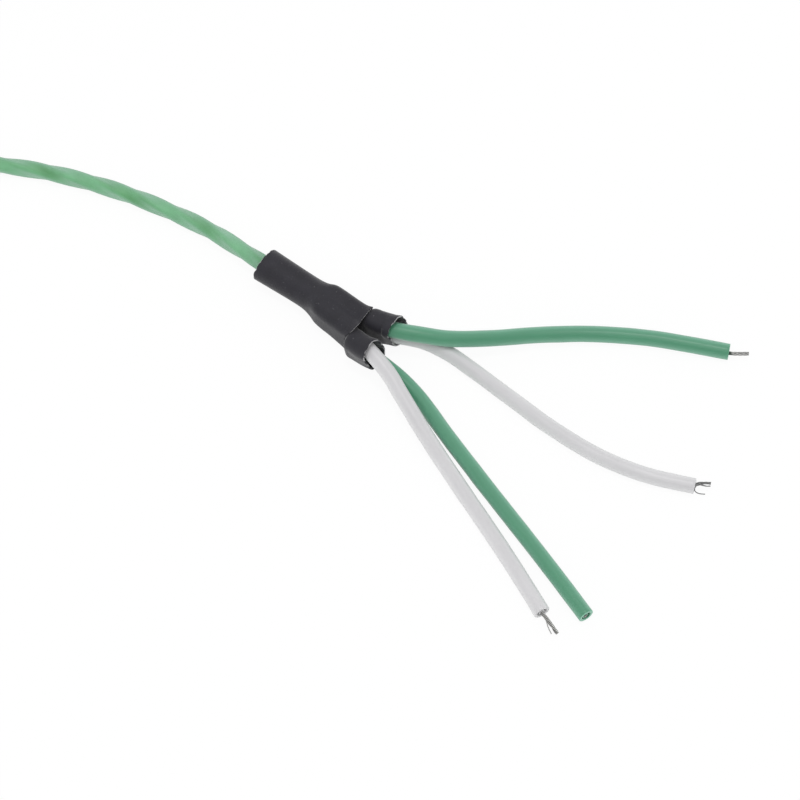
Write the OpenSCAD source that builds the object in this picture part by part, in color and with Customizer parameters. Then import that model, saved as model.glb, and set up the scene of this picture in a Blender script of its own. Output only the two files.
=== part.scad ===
// Mineral insulated thermocouple, duplex type, lying on a bench with its
// extension lead wound up and the lead's split end laid out.
// Millimetres. The probe lies along X, its tip towards +X.

/* [Metal sheath] */
// Diameter of the metal sheath
sheath_od = 3; // [2:0.1:4]
// Wall of the metal sheath
sheath_wall = 0.45; // [0.3:0.05:0.6]
// Length of sheath that stands out of the pot
sheath_len = 150; // [80:1:300]
// Thickness of metal welded across the tip
tip_weld = 1.2; // [0.8:0.1:2]

/* [Thermoelements] */
// Diameter of each thermoelement wire
wire_d = 0.45; // [0.3:0.05:0.5]
// Distance of each wire from the middle of the sheath
wire_offset = 0.55; // [0.45:0.05:0.6]
// Diameter of the bead that joins two wires
bead_d = 0.6; // [0.45:0.05:0.7]
// Mineral left between the beads and the welded tip
bead_cover = 1; // [0.5:0.1:3]

/* [Pot] */
// Outer diameter of the pot
pot_od = 6; // [5:0.1:8]
// Length of the pot
pot_len = 30; // [26:1:50]
// Wall of the pot
pot_wall = 0.5; // [0.3:0.05:0.8]
// Length of the swaged nose round the sheath
nose_len = 6; // [4:0.5:8]
// Wall of the nose where it ends on the sheath
nose_wall = 0.6; // [0.4:0.05:0.9]
// Depth of each roll-crimped groove
groove_depth = 0.25; // [0.1:0.05:0.35]
// Width of each roll-crimped groove
groove_w = 2.4; // [1.6:0.2:3]
// Length of sheath held inside the pot
sheath_grip = 10; // [7:0.5:11]

/* [Splices] */
// Diameter of each crimp splice
splice_od = 1.1; // [0.9:0.05:1.2]
// Length of each crimp splice
splice_len = 3; // [2:0.5:4]
// Distance of each splice from the middle of the pot
splice_offset = 1.35; // [1.2:0.05:1.6]

/* [Strain relief] */
// Length of the tapered part outside the pot
relief_len = 18; // [10:1:30]
// Length of its plug inside the pot
plug_len = 6; // [4:0.5:7]
// Rubber wall round the cable at its thin end
relief_wall = 0.5; // [0.3:0.05:0.9]

/* [Lead cable] */
// Mean diameter of the lead cable
cable_od = 2.45; // [2:0.05:2.6]
// Diameter of each insulated core
core_od = 0.87; // [0.7:0.01:0.9]
// Radius of the coil at the middle of its turns
coil_r = 13.6; // [12:0.1:16]
// Spacing of the turns in the coil
turn_pitch = 2.5; // [2.5:0.05:2.7]
// Thickness of the tie round the coil
tie_t = 0.5; // [0.3:0.1:0.8]
// Width of the tie
tie_w = 3; // [2:0.5:5]

/* [Split sleeves] */
// Wall of the heat-shrunk split sleeve
split_wall = 0.3; // [0.2:0.02:0.3]
// Wall of the heat-shrunk pair sleeves
pair_wall = 0.2; // [0.15:0.01:0.22]
// Distance from the sleeve's mouth to the cable's cut end
cable_in_split = 3.5; // [2:0.5:6]

/* [Tails] */
// Outer diameter of each tail sleeve
tail_od = 2.3; // [1.8:0.05:2.3]
// Wall of each tail sleeve
tail_wall = 0.4; // [0.3:0.05:0.5]
// Length of core stripped back inside the end of each tail
strip_back = 1.5; // [1:0.1:3]
// Diameter of one strand
strand_d = 0.2; // [0.15:0.01:0.2]

/* [Hidden] */
$fn = 48;

// Colours
steel = [0.72, 0.72, 0.71];
magnesia = [0.93, 0.91, 0.86];
positive_metal = [0.70, 0.68, 0.64];
negative_metal = [0.60, 0.61, 0.62];
resin = [0.16, 0.15, 0.14];
tinned = [0.78, 0.77, 0.72];
black_rubber = [0.20, 0.20, 0.23];
cable_green = [0.45, 0.67, 0.51];
tail_green = [0.33, 0.56, 0.44];
tail_white = [0.81, 0.81, 0.83];
strand_grey = [0.45, 0.45, 0.44];

// Clearances between pieces that seat in each other
seat = 0.02;
touch = 0.01;

// The probe along its own axis, with x = 0 at the rear face of the pot
sheath_r = sheath_od / 2;
sheath_bore_r = sheath_r - sheath_wall;
sheath_start = pot_len - sheath_grip;
tip_x = pot_len + sheath_len;
dome_x = tip_x - sheath_r;
fill_end = tip_x - tip_weld;
wire_end = fill_end - bead_cover - bead_d;
wire_out = 3.5;
splice_end = sheath_start - wire_out;
splice_start = splice_end - splice_len;
crimp_depth = splice_len * 0.4;
bare_gap = 0.5;
conductor_d = 0.5;
bead_x = wire_end + bead_d / 4;
pot_r = pot_od / 2;
pot_bore_r = pot_r - pot_wall;
nose_start = pot_len - nose_len;
nose_r = sheath_r + nose_wall;
sealant_end = nose_start - 1;
nose_taper = 1.6;
nose_groove_w = 1.6;
nose_groove_x = nose_start + 3.8;
plug_groove_x = plug_len / 2;
pot_lip = 0.2;
// The swaged nose squeezes the sheath that it grips, and a little beyond
swage = 0.2;
neck_out = 1;
neck_r = sheath_r - swage;
cable_in_pot = plug_len + 1;
core_spread = core_od / 2 + touch;
core_gap = 0.1;
corners = [[1, 1], [1, -1], [-1, 1], [-1, -1]];

// The pot's front edge and the sheath's domed tip both touch the bench
reach = dome_x - nose_start;
lay_angle = acos(sheath_r / norm([pot_r, reach])) - atan2(reach, pot_r);
module lay_down() {
  translate([nose_start - tip_x / 2, 0, 0]) rotate([0, lay_angle, 0])
    translate([-nose_start, 0, pot_r]) children();
}
// The lead is placed from the rear face of the pot
lead_at = [-tip_x / 2, 0, 0];
module by_lead() {
  translate(lead_at) children();
}

// Lead cable, from the pot to the coil
function on_axis(x) = [nose_start + (x - nose_start) * cos(lay_angle) + pot_r * sin(lay_angle),
  0, pot_r * cos(lay_angle) - (x - nose_start) * sin(lay_angle)];
coil_centre = [-40, -18.3, 0];
turn_r = coil_r + 1.5 * turn_pitch;
tangent_len = 10;
lying_z = cable_od / 2 + 0.05;
probe_route = [on_axis(cable_in_pot), on_axis(0), on_axis(-relief_len / 2),
  on_axis(-relief_len - 0.3), [-21.5, -0.2, 3], [-25, -0.7, 2],
  coil_centre + [tangent_len + 1.5, turn_r, lying_z],
  coil_centre + [tangent_len, turn_r, lying_z]];
// Lead cable, from the coil to the split sleeve
split_route = [coil_centre + [tangent_len, -turn_r, lying_z + turn_pitch],
  coil_centre + [tangent_len + 1.5, -turn_r, lying_z + turn_pitch],
  [-25, -35.8, 3.2], [-20, -36.3, 2.3], [-13, -37.4, 1.6],
  [-6, -38.7, 1.3], [0, -39.9, 1.3], [6.6, -41.1, 1.3], [13.3, -43, 1.3],
  [19.7, -45.4, 1.3], [26, -48.4, 1.3], [31.9, -51.9, 1.6],
  [36.1, -55.2, 2.1], [40.1, -58.4, 2.5]];
// Split sleeve, along its own axis
split_at = [40.1, -58.5, 0];
split_dir = [cos(38), -sin(38), 0];
split_side = [sin(38), cos(38), 0];
function in_split(s, n, z) = split_at + s * split_dir + n * split_side + [0, 0, z];
// Stations: distance, half width, half height, corner radius, sideways shift
split_stations = [[0, 2.5, 2.5, 2.45, 0.05], [3.4, 2.46, 2.48, 2.44, 0.15],
  [6.8, 2.37, 2.39, 2.35, 0.21], [8.8, 2.47, 2.47, 2.35, 0.1],
  [10.2, 2.66, 2.62, 1.9, 0.04], [11.3, 2.84, 2.72, 1.6, 0.02],
  [12.6, 2.86, 2.72, 1.6, -0.02], [14.2, 2.94, 2.74, 1.6, -0.05],
  [15.9, 3.15, 2.8, 1.55, -0.18], [17.7, 3.37, 2.9, 1.45, -0.3]];
split_sides = 32;
// How far the top of each end is cut back against its middle
mouth_lean = -0.7;
rear_lean = 0.15;

// Tails: the first points lie inside the sleeves
green_route_1 = [[49, -64, 3.8], [52.3, -66.4, 3.8], [54.6, -68.2, 3.8],
  [56.9, -69.7, 4], [59.2, -70.7, 4.2], [63.1, -71.4, 4.1],
  [67.1, -71.7, 3.6], [73, -71.1, 2.7], [80, -70, 1.8], [88, -69.5, 1.3],
  [96, -70.1, 1.2], [102, -71.2, 1.2], [107.8, -72.5, 1.2]];
white_route_1 = [[49, -64, 1.65], [52.3, -66.4, 1.65], [54.6, -68.2, 1.7],
  [56.9, -69.7, 1.8], [59.3, -70.7, 1.9], [63.2, -71.2, 1.7],
  [66.9, -72.8, 1.4], [70.8, -75.8, 1.2], [76, -80.3, 1.2],
  [82, -85.4, 1.2], [88.8, -90.1, 1.2], [95.2, -93, 1.2],
  [102, -94.8, 1.2]];
green_route_2 = [[47.6, -65.8, 1.65], [50.7, -68.5, 1.65], [52.6, -70.4, 1.75],
  [54.7, -72.4, 1.85], [57.2, -74.8, 1.9], [60.2, -77.4, 1.5],
  [62.8, -80.4, 1.2], [66.8, -86.7, 1.2], [71.5, -93.8, 1.2],
  [76.6, -101.3, 1.2], [81.5, -108.6, 1.2], [85.8, -115.1, 1.2]];
white_route_2 = [[47.6, -65.8, 3.8], [50.7, -68.5, 3.8],
  [52.6, -70.45, 3.85], [54.15, -72.4, 4.1], [55.9, -74.6, 4.2],
  [58.3, -77.6, 3.6], [60.3, -81, 2.8], [63.9, -87.3, 1.8],
  [68.3, -94.7, 1.3], [72.9, -102.4, 1.2], [76.8, -109.3, 1.2],
  [79.8, -114.9, 1.2]];
// Tips of the stranded ends
green_tip_1 = [110.8, -72.8, 1.2];
white_tip_1 = [104.3, -95, 1.2];
green_tip_2 = [85.8, -115.1, 1.2];
white_tip_2 = [81.8, -118.3, 1.2];
// The tails are squeezed where the sleeves hold them
squeeze = 0.1;
held_points = 3;
function tail_r(i) = tail_od / 2 - (i < held_points ? squeeze : i == held_points ? squeeze / 2 : 0);

// Pair sleeves: place between its two tails' points, half width and half
// height outside, sideways and upward shift
pair_stations_1 = [[1, 0, 0, 0, 0], [1.6, 0, 0, 0, 0], [2.1, 0, 0, 0, 0],
  [2.35, 0.05, -0.04, 0.02, 0], [2.6, 0.28, -0.05, 0.14, 0.05],
  [3, 0.42, 0.05, 0.24, 0.1], [3.5, 0.5, 0.15, 0.32, 0.2], [4.1, 0.6, 0.25, 0.4, 0.32]];
pair_stations_2 = [[1, 0, 0, 0, 0], [1.6, 0, 0, 0, 0], [2.05, 0.02, -0.01, 0.01, 0],
  [2.38, 0.03, -0.02, 0.02, 0], [2.65, 0.34, -0.23, -0.22, 0], [3, 0.5, -0.2, -0.35, 0],
  [3.5, 0.5, -0.1, -0.25, 0.05], [4, 0.5, 0, -0.15, 0.1]];
pair_sides = 24;
pair_seat = 0.04;
pair_lean = 1;

// Sweeping and skinning
up = [0, 0, 1];
function unit(v) = v / norm(v);
function dir_at(route, i) =
  unit(route[min(i + 1, len(route) - 1)] - route[max(i - 1, 0)]);
function side_of(d) = unit(cross(up, d));
function above(d) = cross(d, side_of(d));
function tube_ring(p, d, r, sides) = [for (k = [0:sides - 1])
  let (a = (k + 0.5) * 360 / sides)
  p + r * cos(a) * side_of(d) + r * sin(a) * above(d)];
function wrap_index(i, j, n) = i * n + j % n;
// Sides of a skin over m rings of n points; joined also joins the last ring
// to the first
function skin_sides(m, n, joined) = [for (i = [0:m - (joined ? 1 : 2)], j = [0:n - 1])
  let (a = wrap_index(i, j, n), b = wrap_index(i, j + 1, n),
    c = wrap_index((i + 1) % m, j + 1, n), d = wrap_index((i + 1) % m, j, n))
  each [[a, c, b], [a, d, c]]];
function flat(rings) = [for (r = rings) each r];
module solid_skin(rings) {
  m = len(rings);
  n = len(rings[0]);
  polyhedron(flat(rings), concat(skin_sides(m, n, false),
    [[for (j = [0:n - 1]) j]], [[for (j = [n - 1:-1:0]) (m - 1) * n + j]]));
}
module hollow_skin(outer, inner) {
  rings = concat(outer, [for (i = [len(inner) - 1:-1:0]) inner[i]]);
  polyhedron(flat(rings), skin_sides(len(rings), len(rings[0]), true));
}
module solid_tube(route, r) {
  solid_skin([for (i = [0:len(route) - 1]) tube_ring(route[i], dir_at(route, i), r, 8)]);
}

// Round pieces of the probe
module rod(x0, x1, r) {
  translate([x0, 0, 0]) rotate([0, 90, 0]) cylinder(h = x1 - x0, r = r);
}
module rod_between(p, q, r) {
  v = q - p;
  translate(p) rotate([0, acos(v[2] / norm(v)), atan2(v[1], v[0])]) cylinder(h = norm(v), r = r);
}
// Revolves a profile given as [distance along the axis, radius]
module turned(profile) {
  rotate([0, 90, 0]) rotate_extrude() polygon([for (p = profile) [p[1], p[0]]]);
}

module sheath() {
  steps = 8;
  color(steel) lay_down() turned(concat(
    [[sheath_start, sheath_bore_r], [sheath_start, neck_r], [pot_len + neck_out / 2, neck_r],
     [pot_len + neck_out, sheath_r], [dome_x, sheath_r]],
    [for (k = [1:steps - 1]) let (a = 90 * k / steps)
      [dome_x + sheath_r * sin(a), sheath_r * cos(a)]],
    [[tip_x, 0], [fill_end, 0], [fill_end, sheath_bore_r]]));
}
function corner_at(k, x, offset) =
  [x, corners[k][0] * offset / sqrt(2), corners[k][1] * offset / sqrt(2)];
// Rods from point to point, with a round joint at each bend
joint_swell = 1.12;
module rod_chain(points, r) {
  for (i = [0:len(points) - 2]) {
    rod_between(points[i], points[i + 1], r);
    if (i > 0) translate(points[i]) rotate([0, 90, 0]) sphere(r = r * joint_swell);
  }
}
// Wire: straight in the sheath, then out to its splice
module wire_shape(k, grow = 0) {
  rod_chain([corner_at(k, splice_end - crimp_depth, splice_offset),
    corner_at(k, splice_end + touch, splice_offset),
    corner_at(k, sheath_start - touch, wire_offset),
    corner_at(k, wire_end, wire_offset)], wire_d / 2 + grow);
}
module bead_shape(j, grow = 0) {
  half = wire_offset / sqrt(2);
  translate([bead_x, (1 - 2 * j) * half, 0]) {
    translate([0, 0, -half]) cylinder(h = 2 * half, r = bead_d / 2 + grow);
    for (z = [-half, half]) translate([0, 0, z]) sphere(r = bead_d / 2 + grow);
  }
}
module mineral_fill() {
  color(magnesia) lay_down() difference() {
    rod(sheath_start, fill_end - touch, sheath_bore_r - touch);
    for (k = [0:3]) wire_shape(k, touch);
    for (j = [0, 1]) bead_shape(j, touch);
  }
}
module thermoelement(k, metal) {
  color(metal) lay_down() wire_shape(k);
}
module hot_junction(j) {
  color(negative_metal) lay_down() difference() {
    bead_shape(j);
    for (k = [2 * j, 2 * j + 1]) wire_shape(k, touch);
  }
}

// A roll-crimped groove as [distance along the pot, radius] points
groove_steps = 8;
function groove(at, w, r) = [for (k = [0:groove_steps])
  [at + w * (k / groove_steps - 0.5), r - groove_depth * (1 - cos(360 * k / groove_steps)) / 2]];
function backwards(list) = [for (i = [len(list) - 1:-1:0]) list[i]];
module pot_body() {
  color(steel) lay_down() turned(concat(
    [[0, pot_bore_r], [0, pot_r - pot_lip], [pot_lip, pot_r]],
    groove(plug_groove_x, groove_w, pot_r),
    [[nose_start, pot_r], [nose_start + nose_taper, nose_r]],
    groove(nose_groove_x, nose_groove_w, nose_r),
    [[pot_len - pot_lip, nose_r], [pot_len, nose_r - pot_lip],
     [pot_len, neck_r + seat], [nose_start, neck_r + seat], [sealant_end, pot_bore_r]],
    backwards(groove(plug_groove_x, groove_w, pot_bore_r))));
}

// Core end: insulated up to its splice, bare inside it
module core_end_shape(k, grow = 0) {
  rod_between(corner_at(k, cable_in_pot + core_gap, core_spread * sqrt(2)),
    corner_at(k, splice_start - bare_gap, splice_offset), core_od / 2 + grow);
  rod_chain([corner_at(k, splice_start - bare_gap, splice_offset),
    corner_at(k, splice_start + crimp_depth, splice_offset)], conductor_d / 2 + grow);
}
module core_end(k, insulation) {
  color(insulation) lay_down() core_end_shape(k);
}
module splice_shape(k, grow = 0) {
  rod_chain([corner_at(k, splice_start - grow, splice_offset),
    corner_at(k, splice_end + grow, splice_offset)], splice_od / 2 + grow);
}
module splice(k) {
  color(tinned) lay_down() difference() {
    splice_shape(k);
    wire_shape(k, touch);
    core_end_shape(k, touch);
  }
}
module pot_sealant() {
  color(resin) lay_down() difference() {
    rod(plug_len + touch, sealant_end - touch, pot_bore_r - touch);
    rod(plug_len, cable_in_pot + touch, cable_od / 2 + touch);
    rod(sheath_start - touch, pot_len, neck_r + touch);
    for (k = [0:3]) {
      wire_shape(k, touch);
      core_end_shape(k, touch);
      splice_shape(k, touch);
    }
  }
}
module strain_relief() {
  tail_end_r = cable_od / 2 + relief_wall;
  shoulder_r = pot_bore_r - 0.1;
  color(black_rubber) lay_down() difference() {
    turned(concat([[-relief_len, 0], [-relief_len, tail_end_r - 0.2],
      [-relief_len + 0.2, tail_end_r], [-relief_len * 0.6, tail_end_r + 0.25],
      [-1.5, shoulder_r], [0, shoulder_r], [0, pot_bore_r - touch]],
      groove(plug_groove_x, groove_w, pot_bore_r - touch),
      [[plug_len, pot_bore_r - touch], [plug_len, 0]]));
    rod(-relief_len - 1, plug_len + 1, cable_od / 2 + seat);
  }
}

module cable_run_probe() {
  color(cable_green) by_lead() solid_tube(probe_route, cable_od / 2);
}
module cable_run_split() {
  end = in_split(cable_in_split, 0.05, 2.5);
  color(cable_green) by_lead() solid_tube(concat(split_route, [end]), cable_od / 2);
}
coil_in = coil_r - 2 * turn_pitch;
coil_out = coil_r + 2 * turn_pitch;
coil_top = 3 * turn_pitch;
coil_bevel = 0.8;
coil_floor = 0.05;
coil_profile = [[coil_in + coil_bevel, coil_floor], [coil_out - coil_bevel, coil_floor],
  [coil_out, coil_bevel], [coil_out, 2 * turn_pitch - coil_bevel],
  [coil_out - coil_bevel, 2 * turn_pitch],
  [coil_out - turn_pitch, 2 * turn_pitch + coil_bevel / 2],
  [coil_out - turn_pitch - coil_bevel, coil_top], [coil_in + coil_bevel, coil_top],
  [coil_in, coil_top - coil_bevel], [coil_in, coil_bevel]];
module coil_lead_out(side, z) {
  solid_tube([[0, side * turn_r, z], [tangent_len, side * turn_r, z]], cable_od / 2);
}
// The turns are lifted where the tie passes under them
tie_turn = 200;
tie_gap = 0.1;
module at_tie() {
  rotate([0, 0, tie_turn]) rotate([90, 0, 0]) translate([0, 0, -tie_w / 2]) children();
}
module cable_coil() {
  color(cable_green) by_lead() translate(coil_centre) difference() {
    union() {
      rotate_extrude($fn = 72) polygon(coil_profile);
      coil_lead_out(1, lying_z);
      coil_lead_out(-1, lying_z + turn_pitch);
    }
    at_tie() translate([coil_in - 1, -1, -tie_gap])
      cube([coil_out - coil_in + 2, 1 + tie_t + tie_gap, tie_w + 2 * tie_gap]);
  }
}
// The tie is flat where the inner turns curve away from it
tie_in = sqrt(pow(coil_in, 2) - pow(tie_w / 2, 2)) - seat;
function tie_outline(grow) = [[tie_in - grow, tie_t - grow], [coil_out + grow, tie_t - grow],
  [coil_out + grow, 2 * turn_pitch + grow / 2], [coil_out - turn_pitch + grow / 2, coil_top + grow],
  [tie_in - grow, coil_top + grow]];
module coil_tie() {
  color(black_rubber) by_lead() translate(coil_centre) at_tie() linear_extrude(tie_w) difference() {
    polygon(tie_outline(tie_t));
    polygon(tie_outline(seat));
  }
}

// Ring of half width a along u and half height b along v, corners of radius r
function rounded_ring(p, u, v, a, b, r, sides, lean) = [for (k = [0:sides - 1])
  let (t = (k + 0.5) * 360 / sides,
    x = sign(cos(t)) * (a - r) + r * cos(t), y = sign(sin(t)) * (b - r) + r * sin(t))
  p + x * u + y * v - lean * y / b * cross(u, v)];
split_floor = 0.02;
function split_ring(s, wall, lean) =
  rounded_ring(in_split(s[0], s[4], split_floor + s[2]), side_of(split_dir), up,
    s[1] - wall, s[2] - wall, s[3] - wall, split_sides, lean);
function split_lean(i) = i == 0 ? rear_lean : i == len(split_stations) - 1 ? mouth_lean : 0;
function split_rings(wall) = [for (i = [0:len(split_stations) - 1])
  split_ring(split_stations[i], wall, split_lean(i))];
module split_sleeve() {
  color(black_rubber) by_lead() hollow_skin(split_rings(0), split_rings(split_wall));
}

function along(route, u) = let (i = min(floor(u), len(route) - 2), f = u - i)
  route[i] * (1 - f) + route[i + 1] * f;
function middle(a, b, u) = (along(a, u) + along(b, u)) / 2;
function pair_ring(a, b, s, wall, lean) =
  let (pa = along(a, s[0]), pb = along(b, s[0]),
    d = unit(middle(a, b, s[0] + 0.3) - middle(a, b, s[0] - 0.3)),
    apart = (pa - pb) - ((pa - pb) * d) * d, v = unit(apart), u = cross(v, d),
    w = (tail_od / 2 - squeeze + pair_seat) / cos(180 / pair_sides) + pair_wall + s[1] - wall,
    h = w + norm(apart) / 2 + s[2])
  rounded_ring(middle(a, b, s[0]) + s[3] * u + s[4] * v, u, v, w, h, w, pair_sides, lean);
function pair_rings(a, b, stations, wall) = [for (i = [0:len(stations) - 1])
  pair_ring(a, b, stations[i], wall, i == len(stations) - 1 ? pair_lean : 0)];
module pair_sleeve(upper, lower, stations) {
  color(black_rubber) by_lead() hollow_skin(pair_rings(upper, lower, stations, 0),
    pair_rings(upper, lower, stations, pair_wall));
}

module tail(route, skin) {
  color(skin) by_lead() hollow_skin(
    [for (i = [0:len(route) - 1]) tube_ring(route[i], dir_at(route, i), tail_r(i), 8)],
    [for (i = [0:len(route) - 1]) tube_ring(route[i], dir_at(route, i), tail_r(i) - tail_wall, 8)]);
}
// Each core runs from the cable's cut end into its tail and on to the place
// where it is stripped
core_start = cable_in_split + touch;
function stripped_end(route) = let (n = len(route) - 1)
  route[n] - strip_back * dir_at(route, n);
function core_route(route, n, z) = concat(
  [in_split(core_start, n * core_spread, 2.5 + z * core_spread)],
  [in_split(core_start + 1, n * core_spread, 2.5 + z * core_spread)],
  [for (i = [0:len(route) - 2]) route[i]], [stripped_end(route)]);
module core(route, n, z, insulation) {
  color(insulation) by_lead() solid_tube(core_route(route, n, z), core_od / 2);
}
// Seven strands twisted together, from the stripped core to the tip
strand_turn = 110;
strand_spread = 0.03;
module strands(route, tip, stands_out) {
  n = len(route) - 1;
  d = dir_at(route, n);
  start = stripped_end(route) + touch * d;
  stations = stands_out ? [start, route[n], (route[n] + tip) / 2, tip] : [start, route[n]];
  lay = strand_d + strand_spread;
  color(strand_grey) by_lead() for (k = [0:6]) solid_skin([for (i = [0:len(stations) - 1])
    let (e = dir_at(stations, i), a = 60 * k + strand_turn * i / 3,
      off = k == 6 ? 0 : lay)
    tube_ring(stations[i] + off * cos(a) * side_of(e) + off * sin(a) * above(e), e, strand_d / 2, 6)]);
}

sheath();
mineral_fill();
thermoelement(0, positive_metal);  // thermoelement_positive_1
thermoelement(1, negative_metal);  // thermoelement_negative_1
thermoelement(2, positive_metal);  // thermoelement_positive_2
thermoelement(3, negative_metal);  // thermoelement_negative_2
hot_junction(0);  // hot_junction_1
hot_junction(1);  // hot_junction_2
pot_body();
pot_sealant();
splice(0);  // splice_positive_1
splice(1);  // splice_negative_1
splice(2);  // splice_positive_2
splice(3);  // splice_negative_2
core_end(0, tail_green);  // core_end_positive_1
core_end(1, tail_white);  // core_end_negative_1
core_end(2, tail_green);  // core_end_positive_2
core_end(3, tail_white);  // core_end_negative_2
strain_relief();
cable_run_probe();
cable_coil();
coil_tie();
cable_run_split();
split_sleeve();
pair_sleeve(green_route_1, white_route_1, pair_stations_1);  // pair_sleeve_1
pair_sleeve(white_route_2, green_route_2, pair_stations_2);  // pair_sleeve_2
tail(green_route_1, tail_green);  // tail_green_1
tail(white_route_1, tail_white);  // tail_white_1
tail(green_route_2, tail_green);  // tail_green_2
tail(white_route_2, tail_white);  // tail_white_2
core(green_route_1, 1, 1, tail_green);  // core_green_1
core(white_route_1, 1, -1, tail_white);  // core_white_1
core(green_route_2, -1, -1, tail_green);  // core_green_2
core(white_route_2, -1, 1, tail_white);  // core_white_2
strands(green_route_1, green_tip_1, true);  // strands_green_1
strands(white_route_1, white_tip_1, true);  // strands_white_1
strands(green_route_2, green_tip_2, false);  // strands_green_2
strands(white_route_2, white_tip_2, true);  // strands_white_2
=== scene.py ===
"""Looks of a duplex mineral insulated thermocouple with its wound lead and split tails."""
import math

import bmesh
import bpy
from bpy.props import FloatProperty, FloatVectorProperty, IntProperty, PointerProperty
from mathutils import Euler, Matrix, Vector, noise


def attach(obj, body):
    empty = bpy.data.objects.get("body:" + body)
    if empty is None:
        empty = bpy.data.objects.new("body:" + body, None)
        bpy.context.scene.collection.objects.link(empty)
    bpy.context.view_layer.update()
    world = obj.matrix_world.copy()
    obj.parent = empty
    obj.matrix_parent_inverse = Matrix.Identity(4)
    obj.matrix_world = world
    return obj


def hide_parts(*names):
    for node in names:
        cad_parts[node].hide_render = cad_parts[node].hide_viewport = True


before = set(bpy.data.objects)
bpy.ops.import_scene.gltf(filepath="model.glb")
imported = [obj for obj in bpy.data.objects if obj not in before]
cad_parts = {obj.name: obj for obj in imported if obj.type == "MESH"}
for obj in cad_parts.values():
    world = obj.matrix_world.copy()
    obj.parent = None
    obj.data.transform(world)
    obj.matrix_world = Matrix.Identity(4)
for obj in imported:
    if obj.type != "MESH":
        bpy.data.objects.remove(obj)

bl_info = {
    "name": "Mineral Insulated Thermocouple",
    "version": (1, 0, 0),
    "blender": (4, 5, 0),
    "location": "3D View > Sidebar > Thermocouple",
    "description": "Builds the visible pieces of a thermocouple with its lead and tails",
    "category": "Object",
}

MM = 0.001
UP = Vector((0, 0, 1))
# The lead is placed from the rear face of the pot
LEAD = Vector((-90.0, 0.0, 0.0))


def srgb(red, green, blue):
    """A colour given as it looks on a screen, 0 to 255, as Blender's linear colour."""
    def linear(c):
        c /= 255
        return c / 12.92 if c <= 0.04045 else ((c + 0.055) / 1.055) ** 2.4
    return tuple(linear(c) for c in (red, green, blue))


# Sizes and colours that a user would change

def length(name, description, default):
    """A size, given in millimetres."""
    return FloatProperty(name=name, description=description, default=default * MM, unit="LENGTH")


def brightness(name, description, default):
    """How strong a light is."""
    return FloatProperty(name=name, description=description, default=default, min=0)


def colour(name, description, default):
    return FloatVectorProperty(name=name, description=description, default=default, subtype="COLOR")


class StageSettings(bpy.types.PropertyGroup):
    """Light, floor and camera round the object."""
    sky: brightness("Sky", "Strength of the white surroundings overhead", 0.66)
    rim: brightness("Horizon", "Strength of the white surroundings at eye level", 0.98)
    key: brightness("Key light", "Strength of the soft key light", 0.5)
    front: brightness("Front light", "Strength of the small lamp near the camera", 0.5)
    lens: FloatProperty(name="Lens", description="Focal length of the camera", default=150.0, unit="CAMERA")
    floor: colour("Floor", "Colour of the floor", (0.94, 0.94, 0.94))
    clean: FloatProperty(name="Clean background", description="Share of the floor that shows plain white",
                         default=0.93, min=0, max=1, subtype="FACTOR")


class CableSettings(bpy.types.PropertyGroup):
    """The lead cable, round but for its four twisted cores that show through."""
    diameter: length("Diameter", "Mean diameter of the cable", 2.45)
    lobe: FloatProperty(name="Lobe height", description="How far each core stands out of the round",
                        default=0.07, subtype="FACTOR")
    lay: length("Lay length", "Length of one full twist of the cores", 27.5)
    pitch: length("Turn spacing", "Distance between turns of the coil", 2.5)
    light: colour("Light green", "Jacket over a core", srgb(104, 165, 121))
    deep: colour("Deep green", "Jacket between cores", srgb(74, 142, 84))
    # The edge colour is a painted sheen, mixed into the jacket's colour where it turns away from the view
    edge: colour("Edge", "Paler sheen where the jacket turns away", srgb(150, 188, 168))


class SleeveSettings(bpy.types.PropertyGroup):
    """The black heat-shrunk sleeves."""
    split_wall: length("Split sleeve wall", "Wall of the large sleeve", 0.3)
    pair_wall: length("Pair sleeve wall", "Wall of the two small sleeves", 0.25)
    black: colour("Black", "Colour of the sleeves", srgb(35, 34, 41))
    # A pale grey for scuffs and dust, also painted near the cut rims as highlights
    scuff_and_highlight: colour("Scuff And Highlight", "Colour of scuffs and cut rims", srgb(172, 170, 172))


class TailSettings(bpy.types.PropertyGroup):
    """The four tail sleeves and what they hold."""
    diameter: length("Diameter", "Outer diameter of each tail", 2.3)
    wall: length("Wall", "Wall of each tail", 0.45)
    core: length("Core", "Diameter of each core", 0.87)
    strand: length("Strand", "Diameter of one strand", 0.18)
    strands: IntProperty(name="Strands", description="Strands in each conductor", default=7, min=3)
    green: colour("Green", "Colour of the green tails", srgb(63, 133, 100))
    # The edge colours of the tails are painted sheens, mixed into their colour where a tail turns away from the
    # view
    green_painted_sheen: colour("Green edge", "Paler sheen where a green tail turns away", srgb(130, 185, 160))
    cut_green: colour("Cut green", "Colour of the green tails' cut ends", srgb(112, 178, 150))
    white: colour("White", "Colour of the white tails", srgb(197, 196, 198))
    white_painted_sheen: colour("White edge", "Paler sheen where a white tail turns away", srgb(228, 228, 229))


class ProbeSettings(bpy.types.PropertyGroup):
    """The metal-sheathed probe."""
    steel: colour("Steel", "Colour of the sheath and the pot", (0.56, 0.56, 0.55))
    tint: colour("Weld tint", "Heat colour left beside a weld", (0.42, 0.33, 0.22))


# Points along a route, in millimetres

def lead(points):
    """Points of the lead, from its own origin to the shared frame."""
    return [Vector(p) + LEAD for p in points]


def length_of(points):
    return sum((b - a).length for a, b in zip(points, points[1:]))


def evenly(points, step):
    """Points at even distances, about a step apart, along a line through many points."""
    total = length_of(points)
    count = max(2, round(total / step))
    gap, out, done, i = total / count, [points[0].copy()], 0.0, 0
    while len(out) < count:
        piece = (points[i + 1] - points[i]).length
        wanted = len(out) * gap
        if done + piece >= wanted:
            out.append(points[i].lerp(points[i + 1], (wanted - done) / piece))
        else:
            done += piece
            i += 1
    return out + [points[-1].copy()]


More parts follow.
